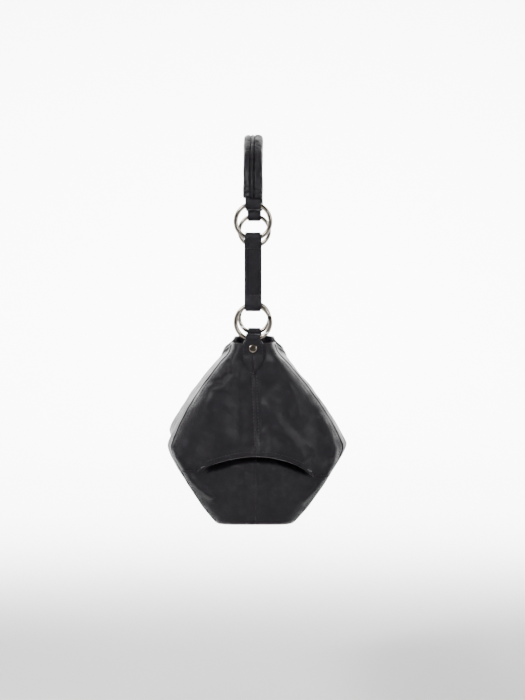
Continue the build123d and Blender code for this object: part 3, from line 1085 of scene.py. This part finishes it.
def make_pocket():
    """A slip pocket sewn to the back lining, with a leather binding along its top."""
    low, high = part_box("inner_pocket")
    half, bottom, top = high.x / MM, low.z / MM - BASE, high.z / MM - BASE
    binding = (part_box("pocket_binding")[1].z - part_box("pocket_binding")[0].z) / MM

    def layer(h_low, h_high, inset):
        def place(u, v):
            x = (2 * u - 1) * half
            h = h_low + v * (h_high - h_low)
            slack = 0.7 * np.sin(math.pi * u) ** 2 * np.sin(1.4 * math.pi * v) ** 2
            return slump(x, side_y(x, h) - inset - slack, h)

        return place

    rows = (
        ("pocket_cloth", bottom, top, 4.6, "lining_cloth", cotton_twill(), "inner_pocket"),
        ("pocket_edge", top - binding, top + 0.4, 5.5, "black_leather", nappa_leather(), "pocket_binding"),
    )
    for name, h_low, h_high, inset, slot, material, node in rows:
        piece = surface(name, 60, 40, layer(h_low, h_high, inset))
        outwards(piece, (0, 900, -330))
        thicken(piece, 0.8)
        smooth(piece)
        dress(piece, "bag", slot, [material, material], node)


# ------------------------------------------------------------------ straps, tabs and loops


def sagitta(width):
    """How far the ring's wire rises across half of a loop this wide."""
    return RING_RADIUS - math.sqrt(RING_RADIUS**2 - (width / 2) ** 2)


def loop_radius(width, leather):
    """Radius of a loop's centre line, clear of the ring's curved wire across its width."""
    return WIRE / 2 + sagitta(width) / 2 + LOOP_GAP + leather / 2


def loop_path(half_gap, radius, taper, count=26):
    """Half a loop's centre line, from below the ring's wire to over its top, as (x, z)."""
    turn = math.atan2(-taper, half_gap) + math.acos(radius / math.hypot(taper, half_gap))
    arc = np.linspace(turn, math.pi / 2, count)
    rise = np.linspace(0, 1, 12, endpoint=False)
    start, end = np.array([half_gap, -taper]), radius * np.array([math.cos(turn), math.sin(turn)])
    line = start + (end - start) * (3 * rise**2 - 2 * rise**3)[:, None]
    return np.concatenate([line, radius * np.stack([np.cos(arc), np.sin(arc)], 1)])


def band(name, path, halves, x0, z0, columns=18):
    """A strip of leather extruded along a path of (x, z), with its half width at each point."""
    deselect()
    start = Vector((x0 + path[0][0], 0, z0 + path[0][1])) * MM
    bpy.ops.mesh.primitive_grid_add(x_subdivisions=1, y_subdivisions=columns, size=2)
    piece = bpy.context.object
    piece.name = name
    select_where(piece, lambda place: place.x > 0)
    bpy.ops.mesh.delete(type="VERT")
    bpy.ops.mesh.select_all(action="SELECT")
    bpy.ops.transform.translate(value=start + Vector((1, 0, 0)))
    bpy.ops.transform.resize(value=(1, halves[0] * MM, 1), center_override=start)
    for here, ahead, half, next_half in zip(path, path[1:], halves, halves[1:]):
        step = Vector((ahead[0] - here[0], 0, ahead[1] - here[1])) * MM
        bpy.ops.mesh.extrude_edges_move(TRANSFORM_OT_translate={"value": step})
        centre = Vector((x0 + ahead[0], 0, z0 + ahead[1])) * MM
        bpy.ops.transform.resize(value=(1, next_half / half, 1), center_override=centre)
    bpy.ops.object.mode_set(mode="OBJECT")
    edit(piece, lambda: bpy.ops.mesh.remove_doubles(threshold=1e-6))
    return piece


def leather_strip(piece, thickness, centre):
    """Turn the strip's face outwards, give it its thickness and round its cut edges."""
    outwards(piece, centre)
    thicken(piece, thickness, inside=False)
    modify(piece, "BEVEL", width=0.35 * MM, segments=2, limit_method="ANGLE", angle_limit=0.9)
    return smooth(piece, 40)


def make_straps():
    """Each strap is one strip round both rings, padded and sewn down its long edges."""
    leather = size("strap_leather")
    radius = loop_radius(STRAP_WIDTH, leather)
    gap = leather / 2 + 0.45
    bearing = RING_RADIUS - sagitta(STRAP_WIDTH) / 2
    top, low = RING_TOP.z - bearing, RING_LOW.z + bearing
    middle_z, half = (top + low) / 2, (top - low) / 2
    quarter = loop_path(gap, radius, 12)
    right = quarter + [0, half]
    left = right[::-1] * [-1, 1]
    lower_left = quarter * [-1, -1] - [0, half]
    lower_right = lower_left[::-1] * [-1, 1]
    long_z = np.linspace(-half + 12, half - 12, 40)[1:-1]
    swell = gap + 0.5 * np.sin(np.pi * (long_z + half) / (2 * half))
    up = np.stack([swell, long_z], 1)
    down = np.stack([-swell, long_z[::-1]], 1)
    path = np.concatenate([right, left[1:], down, lower_left, lower_right[1:], up, right[:1]])

    past = np.clip((np.abs(path[:, 1]) - half + 3) / (radius + 3), 0, 1)
    strap = band("strap_strip_right", path, STRAP_WIDTH / 2 - 1.1 * past**2, END_X, middle_z)
    leather_strip(strap, leather, (END_X, 0, middle_z))
    runs = []
    face = gap + 0.5 + leather / 2
    flat = half - 11
    for x_side in (-1, 1):
        for y in (-STRAP_WIDTH / 2 + 2.0, STRAP_WIDTH / 2 - 2.0):
            z = np.linspace(-flat, flat, 40)
            bow = gap + 0.5 * np.sin(np.pi * (z + half) / (2 * half)) + leather / 2
            line = np.stack([END_X + x_side * bow, np.full(40, y), middle_z + z], 1)
            runs.append((line, np.tile([x_side, 0, 0], (40, 1))))
        for z in (-flat, flat):
            y = np.linspace(-STRAP_WIDTH / 2 + 2.0, STRAP_WIDTH / 2 - 2.0, 20)
            bow = face - 0.3
            line = np.stack([np.full(20, END_X + x_side * bow), y, np.full(20, middle_z + z)], 1)
            runs.append((line, np.tile([x_side, 0, 0], (20, 1))))
    leathers = [nappa_leather("strap_leather", 1.3), edge_paint_and_highlight()]
    both_ends(strap, "strap_right", "black_leather", leathers, "strap_right")
    thread = stitches("strap_stitching_right", runs)
    both_ends(thread, "strap_right", "black_leather", [bonded_thread()])


def make_handle_loops():
    """The leather loops that hang the rings from the handle's ends."""
    width = width_of("handle_end_loop_right")
    leather = size("strap_leather")
    radius = loop_radius(width, leather)
    pivot = RING_TOP.z + RING_RADIUS - sagitta(width) / 2
    quarter = loop_path(leather / 2 + 0.4, radius, 9) * [1, -1]
    path = np.concatenate([[[quarter[0][0], 16.0]], quarter, quarter[::-1][1:] * [-1, 1]])
    path = np.concatenate([path, [[-quarter[0][0], 16.0]]])

    past = np.clip((2 - path[:, 1]) / (radius + 2), 0, 1)
    loop = band("handle_loop_strip_right", path, width / 2 - 0.9 * past**2, END_X, pivot)
    leather_strip(loop, leather, (END_X, 0, pivot))
    leathers = [nappa_leather("strap_leather", 1.3), edge_paint_and_highlight()]
    both_ends(loop, "handle", "black_leather", leathers, "handle_end_loop_right")


def leaf_half(z):
    """Half width of the tab at z below the bag's top edge (negative below)."""
    drops = [9.5, 6.5, 3.4, 0.5, -4, -8.5, -13, -18, -22.5, -26.3, -28.9, -30.2]
    widths = [7.4, 7.9, 9.3, 10.5, 11.6, 11.9, 11.4, 9.6, 7.0, 4.2, 1.9, 0.05]
    return np.interp(-z, [-d for d in drops], widths)


def make_tabs():
    """Leaf-shaped tabs, folded over the gate rings and sewn round their edges."""
    leather = size("strap_leather")
    radius = loop_radius(TAB_LOOP_WIDTH, leather)
    pivot = RING_LOW.z - RING_RADIUS + sagitta(TAB_LOOP_WIDTH) / 2
    drop = pivot - TOP
    face_x = LENGTH_TOP + leather / 2 + 0.1
    z = np.linspace(-30.2, -1.0, 60)
    front = np.stack([face_x - z * SPREAD / (HEIGHT - WIDE), z], 1)
    quarter = loop_path(face_x - END_X, radius, drop + 1.0, 24)
    over = quarter + [END_X, pivot - TOP]
    behind = over[::-1][1:].copy()
    behind[:, 0] = 2 * END_X - behind[:, 0]
    back_z = np.linspace(-2.0, -22.0, 24)
    back_x = 2 * END_X - face_x + 0.06 * -back_z
    back = np.stack([back_x, back_z], 1)
    path = np.concatenate([front, over[1:], behind, back])
    front_rows, all_rows = len(front) + len(over) - 1, len(path)

    def place(u, v):
        row = v * (all_rows - 1)
        x = np.interp(row, np.arange(all_rows), path[:, 0])
        z = np.interp(row, np.arange(all_rows), path[:, 1])
        on_loop = smoothstep(z, 1.0, 8.0)
        half = leaf_half(z) * (1 - on_loop) + (7.5 - 0.5 * smoothstep(z, 9, 12)) * on_loop
        back_half = np.minimum(half, 7.4)
        half = np.where(row > front_rows, back_half, half)
        share = 2 * u - 1
        crease = np.exp(-((share * half / 0.8) ** 2)) * smoothstep(z, -12, -15) * (row < front_rows)
        dome = 1.5 * (1 - share**2) * smoothstep(z, -11, -16) * (row < front_rows)
        return x + dome - 1.4 * crease, share * half, TOP + z

    tab = surface("tab_leather_right", 44, all_rows - 1, place)
    leather_strip(tab, leather, (END_X, 0, pivot))
    z = np.linspace(-25.6, 6.0, 60)
    runs = []
    for side in (-1, 1):
        y = side * (np.clip(leaf_half(z), 0, 12) - 1.9 - 0.9 * smoothstep(z, -18, -27))
        x = np.interp(z, front[:, 1], front[:, 0]) + leather / 2 + 0.15
        x = np.where(z > -1, np.interp(z, over[:, 1], over[:, 0]) + leather / 2, x)
        runs.append((np.stack([x, y, TOP + z], 1), np.tile([1.0, 0, 0.1], (60, 1))))
    leathers = [nappa_leather("strap_leather", 1.3), edge_paint_and_highlight()]
    both_ends(tab, "bag", "black_leather", leathers, "tab_right")
    thread = stitches("tab_stitching_right", runs)
    both_ends(thread, "bag", "black_leather", [bonded_thread()])


# ------------------------------------------------------------------ handle


def handle_line(v):
    """Centre line, outward direction and height of the handle, v from 0 to 1 along it."""
    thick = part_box("handle_cover")[1].x / MM - END_X
    apex = HANDLE_TOP - thick
    side_radius = 50.0
    spring = HANDLE_LOW + 2.5
    reach = END_X - side_radius
    rise = apex - spring
    top_radius = (rise**2 + reach**2 - side_radius**2) / (2 * (rise - side_radius))
    lean = math.asin(reach / (top_radius - side_radius))
    straight, side_arc = spring - HANDLE_LOW, side_radius * (math.pi / 2 - lean)
    half = straight + side_arc + top_radius * lean
    s = (1 - np.abs(2 * v - 1)) * half
    sign = np.where(v < 0.5, 1.0, -1.0)
    on_side = np.clip((s - straight) / side_radius, 0, math.pi / 2 - lean)
    on_top = lean - np.clip((s - straight - side_arc) / top_radius, 0, lean)
    low = s < straight
    flat = s > straight + side_arc
    x = np.where(low, END_X, reach + side_radius * np.cos(on_side))
    x = np.where(flat, top_radius * np.sin(on_top), x)
    z = np.where(low, HANDLE_LOW + s, spring + side_radius * np.sin(on_side))
    z = np.where(flat, apex - top_radius + top_radius * np.cos(on_top), z)
    angle = np.where(low, 0.0, on_side)
    angle = np.where(flat, math.pi / 2 - on_top, angle)
    return sign * x, z, sign * np.cos(angle), np.sin(angle), s, half


def handle_point(v, out, y):
    """A point out from the handle's centre line and across it."""
    x, z, nx, nz, _, _ = handle_line(v)
    return x + out * nx, y + 0 * x, z + out * nz


def puff(piece, sewn, cap):
    """Blow a padded piece up against its sewn lines with cloth, and keep the capped result."""
    before = points_of(piece)
    group = piece.vertex_groups.new(name="sewn")
    group.add([int(index) for index in sewn], 1.0, "REPLACE")
    pick(piece)
    cloth = piece.modifiers.new("cloth", "CLOTH")
    cloth.settings.vertex_group_mass = "sewn"
    cloth.settings.mass = 0.02
    cloth.settings.use_pressure = True
    cloth.settings.uniform_pressure_force = 60.0
    cloth.settings.shrink_min = -0.04
    cloth.settings.effector_weights.gravity = 0
    cloth.settings.tension_stiffness = cloth.settings.compression_stiffness = 5.0
    cloth.settings.bending_stiffness = 0.05
    for frame_number in range(1, 21):
        bpy.context.scene.frame_set(frame_number)
    bpy.ops.object.modifier_apply(modifier=cloth.name)
    bpy.context.scene.frame_set(1)
    piece.vertex_groups.clear()
    move = points_of(piece) - before
    far = np.linalg.norm(move, axis=1)
    share = np.minimum(1.0, cap * MM / np.maximum(far, 1e-9))
    place_points(piece, before + move * share[:, None])


def sew_channels(cover, strip_y):
    """Draw the cover in along both sides of the strip, and gather it at the handle's ends."""
    points = points_of(cover) / MM
    x, z, nx, nz, s, _ = handle_line(np.linspace(0, 1, 900))
    near = np.empty(len(points), int)
    for start in range(0, len(points), 4000):
        part = points[start : start + 4000]
        away = (part[:, 0:1] - x) ** 2 + (part[:, 2:3] - z) ** 2
        near[start : start + 4000] = away.argmin(1)
    out = (points[:, 0] - x[near]) * nx[near] + (points[:, 2] - z[near]) * nz[near]
    y, along = points[:, 1], s[near]
    groove = sum(np.exp(-(((y - strip_y - d) / 0.9) ** 2)) for d in (-1.8, 1.8))
    gather = 0.45 * np.sin(along * 1.15 + 1.5 * np.sin(y / 3)) * smoothstep(along, 22, 5)
    gather = gather * smoothstep(along, 0, 3)
    slack = 0.2 * np.sin(along / 13 + y / 4)
    move = -1.4 * groove * smoothstep(out, 1, 4) + (gather + slack) * np.sign(out)
    points[:, 0] += move * nx[near]
    points[:, 2] += move * nz[near]
    place_points(cover, points * MM)


def make_handle():
    """The padded cover, gathered at its ends, with a raised strip down its outside."""
    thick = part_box("handle_cover")[1].x / MM - END_X
    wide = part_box("handle_cover")[1].y / MM
    strip_y = middle("handle_seam_strip").y
    swell = 0.5  # that the padding adds all round

    def place(u, v):
        _, _, _, _, s, _ = handle_line(v)
        pull = 0.9 + 0.1 * smoothstep(s, 0, 3.0)
        turn = 2 * math.pi * u
        c, k = np.cos(turn), np.sin(turn)
        radius = rounded(c, k, thick - swell, wide - swell, power=3.4)
        return handle_point(v, radius * c * pull, radius * k * pull)

    cover = surface("handle_cover_padded", 56, 200, place, closed=True)
    edit(cover, cap_ends)
    edit(cover, lambda: bpy.ops.mesh.normals_make_consistent(inside=False))
    low = (HANDLE_LOW + 1.5) * MM
    sewn = [
        corner.index
        for corner in cover.data.vertices
        if corner.co.z < low or abs(corner.co.y / MM - strip_y) < 2.4 and corner.normal.y**2 < 0.1
    ]
    puff(cover, sewn, swell)
    modify(cover, "SUBSURF", levels=1, render_levels=1)
    sew_channels(cover, strip_y)
    smooth(cover, 60)
    dress(cover, "handle", "black_leather", [nappa_leather()], "handle_cover", "handle_padding")

    def strip(u, v):
        share = 2 * u - 1
        out = thick - 0.75 + 0.75 * np.sqrt(np.clip(1 - share**2, 0, 1))
        return handle_point(0.006 + 0.988 * v, out, strip_y + 1.15 * share)

    ridge = surface("handle_strip_raised", 10, 420, strip)
    outwards(ridge, (0, 0, -150))
    thicken(ridge, 0.8)
    smooth(ridge, 60)
    dress(ridge, "handle", "black_leather", [nappa_leather()], "handle_seam_strip")
    runs = []
    v = np.linspace(0.01, 0.99, 400)
    _, _, nx, nz, _, _ = handle_line(v)
    for side in (-1, 1):
        x, y, z = handle_point(v, thick - 0.95, strip_y + side * 1.75)
        runs.append((np.stack([x, y, z], 1), np.stack([nx, 0 * nx, nz], 1)))
    dress(stitches("handle_stitching", runs), "handle", "black_leather", [bonded_thread()])


# ------------------------------------------------------------------ hardware and inner pieces


def make_hardware():
    """The metal keeps its CAD shape and takes its plated finish."""
    plated = ("upper_ring", "gate", "rivet", "snap")
    for name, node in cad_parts.items():
        if name.startswith(plated):
            node.data.materials.clear()
            node.data.materials.append(nickel_plate())
        elif name.startswith("strap_filler"):
            node.data.materials.clear()
            node.data.materials.append(cotton_twill())


# ------------------------------------------------------------------ stage


def area_light(name, place, target, size, power, spread=180.0):
    """A soft lamp aimed at a place; the spread, in degrees, keeps its light off the rest."""
    data = bpy.data.lights.new(name, "AREA")
    data.shape = "RECTANGLE"
    data.size, data.size_y = size
    data.energy = power
    data.spread = math.radians(spread)
    light = bpy.data.objects.new(name, data)
    bpy.context.scene.collection.objects.link(light)
    light.location = place
    aim = Vector(target) - Vector(place)
    light.rotation_euler = aim.to_track_quat("-Z", "Y").to_euler()
    return light


def make_stage():
    """A pale sweep, soft lights and the camera in front of the narrow end."""
    floor_z = BASE - 260.0
    flat, bend, height = 2700.0, 900.0, 2600.0  # of the floor, the curve and the wall

    def sweep(u, v):
        run = v * (flat + bend * math.pi / 2 + height)
        turn = np.clip((run - flat) / bend, 0, math.pi / 2)
        past = np.clip(run - flat - bend * math.pi / 2, 0, None)
        radius = np.where(run < flat, run, flat + bend * np.sin(turn))
        wall = smoothstep(np.cos(2 * math.pi * u), 0.92, 0.8)  # open in front of the bag's end
        z = floor_z + (bend * (1 - np.cos(turn)) + past) * wall
        return radius * np.cos(2 * math.pi * u), radius * np.sin(2 * math.pi * u), z

    floor = surface("floor", 96, 90, sweep, closed=True)
    outwards(floor, (0, 0, floor_z - 9000))
    smooth(floor, 60)
    floor.data.materials.append(paper_sweep())
    centre = (0, 0, (TOP + BASE) / 2 * MM)
    behind = (-3.4, 0, BASE * MM)
    area_light("key", (1.6, -1.25, 1.35), centre, (0.45, 0.7), 84)
    area_light("fill", (1.9, 1.5, 0.6), centre, (0.25, 1.1), 36)
    area_light("top", (0.2, 0.1, 1.6), centre, (1.0, 1.0), 8)
    area_light("backdrop_left", (-0.9, -1.6, 1.2), behind, (1.2, 1.2), 230, 100.0)
    area_light("backdrop_right", (-0.9, 1.6, 1.2), behind, (1.2, 1.2), 230, 100.0)
    world = bpy.context.scene.world or bpy.data.worlds.new("studio")
    bpy.context.scene.world = world
    world.use_nodes = True
    world.node_tree.nodes["Background"].inputs["Color"].default_value = (1, 1, 1, 1)
    world.node_tree.nodes["Background"].inputs["Strength"].default_value = 0.2
    camera = bpy.data.objects.new("camera", bpy.data.cameras.new("camera"))
    bpy.context.scene.collection.objects.link(camera)
    # The camera is level with the straps and looks a little down, along the bag.
    camera.data.sensor_width = 36.0
    camera.data.lens = 87.84
    camera.location = (1.945, 0.0100, RING_TOP.z * MM - 0.0722)
    aim = Vector((-1, 0, -math.tan(math.radians(2.01))))
    camera.rotation_euler = aim.to_track_quat("-Z", "Y").to_euler()
    bpy.context.scene.camera = camera


# ------------------------------------------------------------------ add-on


class HOBO_OT_stage(bpy.types.Operator):
    """Sweep, lights and camera"""

    bl_idname = "hobo.stage"
    bl_label = "Stage"

    def execute(self, context):
        make_stage()
        deselect()
        return {"FINISHED"}


class HOBO_OT_ends(bpy.types.Operator):
    """Both halves of each narrow end, above and below the tuck"""

    bl_idname = "hobo.ends"
    bl_label = "End walls"

    def execute(self, context):
        for side in (-1, 1):
            make_end_upper(side)
            make_end_lower(side)
        deselect()
        return {"FINISHED"}


class HOBO_OT_sides(bpy.types.Operator):
    """Front and back"""

    bl_idname = "hobo.sides"
    bl_label = "Long sides"

    def execute(self, context):
        for side in (-1, 1):
            make_side(side)
        deselect()
        return {"FINISHED"}


class HOBO_OT_base(bpy.types.Operator):
    """Base, stiffener and welt"""

    bl_idname = "hobo.base"
    bl_label = "Base"

    def execute(self, context):
        make_base()
        deselect()
        return {"FINISHED"}


class HOBO_OT_tucks(bpy.types.Operator):
    """Rolled edge of each tuck"""

    bl_idname = "hobo.tucks"
    bl_label = "Tucks"

    def execute(self, context):
        make_tucks()
        deselect()
        return {"FINISHED"}


class HOBO_OT_seams(bpy.types.Operator):
    """Welts and topstitching of the bag"""

    bl_idname = "hobo.seams"
    bl_label = "Seams"

    def execute(self, context):
        make_welts()
        make_stitching()
        deselect()
        return {"FINISHED"}


class HOBO_OT_inside(bpy.types.Operator):
    """Lining, facing and rim of the mouth, and the pocket"""

    bl_idname = "hobo.inside"
    bl_label = "Inside"

    def execute(self, context):
        make_inside()
        make_pocket()
        deselect()
        return {"FINISHED"}


class HOBO_OT_tabs(bpy.types.Operator):
    """Leaf-shaped tabs over the gate rings"""

    bl_idname = "hobo.tabs"
    bl_label = "Tabs"

    def execute(self, context):
        make_tabs()
        deselect()
        return {"FINISHED"}


class HOBO_OT_straps(bpy.types.Operator):
    """Straps between the rings"""

    bl_idname = "hobo.straps"
    bl_label = "Straps"

    def execute(self, context):
        make_straps()
        deselect()
        return {"FINISHED"}


class HOBO_OT_loops(bpy.types.Operator):
    """Loops in the ends of the handle"""

    bl_idname = "hobo.loops"
    bl_label = "Handle loops"

    def execute(self, context):
        make_handle_loops()
        deselect()
        return {"FINISHED"}


class HOBO_OT_handle(bpy.types.Operator):
    """Padded handle with its raised strip"""

    bl_idname = "hobo.handle"
    bl_label = "Handle"

    def execute(self, context):
        make_handle()
        deselect()
        return {"FINISHED"}


class HOBO_OT_hardware(bpy.types.Operator):
    """Finish of the metal and of the pieces kept as they are"""

    bl_idname = "hobo.hardware"
    bl_label = "Hardware"

    def execute(self, context):
        make_hardware()
        deselect()
        return {"FINISHED"}


OPERATORS = [
    HOBO_OT_stage,
    HOBO_OT_ends,
    HOBO_OT_sides,
    HOBO_OT_base,
    HOBO_OT_tucks,
    HOBO_OT_seams,
    HOBO_OT_inside,
    HOBO_OT_tabs,
    HOBO_OT_straps,
    HOBO_OT_loops,
    HOBO_OT_handle,
    HOBO_OT_hardware,
]


class HOBO_PT_panel(bpy.types.Panel):
    """Lists the bag's pieces and sizes."""

    bl_label = "Hobo bag"
    bl_idname = "HOBO_PT_panel"
    bl_space_type = "VIEW_3D"
    bl_region_type = "UI"
    bl_category = "Hobo bag"

    def draw(self, context):
        for group in (context.scene.hobo_sizes, context.scene.hobo_colours):
            for name in group.bl_rna.properties.keys():
                if name not in ("rna_type", "name"):
                    self.layout.prop(group, name)
        for kind in OPERATORS:
            self.layout.operator(kind.bl_idname)


CLASSES = [BagSizes, BagColours, *OPERATORS, HOBO_PT_panel]


def register():
    """Add the bag's sizes, colours, operators and panel."""
    for kind in CLASSES:
        bpy.utils.register_class(kind)
    bpy.types.Scene.hobo_sizes = bpy.props.PointerProperty(type=BagSizes)
    bpy.types.Scene.hobo_colours = bpy.props.PointerProperty(type=BagColours)


def unregister():
    """Take them away again."""
    del bpy.types.Scene.hobo_colours
    del bpy.types.Scene.hobo_sizes
    for kind in reversed(CLASSES):
        bpy.utils.unregister_class(kind)


def main():
    """Build the whole bag on its stage."""
    register()
    bpy.ops.hobo.stage()
    bpy.ops.hobo.ends()
    bpy.ops.hobo.sides()
    bpy.ops.hobo.base()
    bpy.ops.hobo.tucks()
    bpy.ops.hobo.seams()
    bpy.ops.hobo.inside()
    bpy.ops.hobo.tabs()
    bpy.ops.hobo.straps()
    bpy.ops.hobo.loops()
    bpy.ops.hobo.handle()
    bpy.ops.hobo.hardware()


if __name__ == "__main__":
    main()
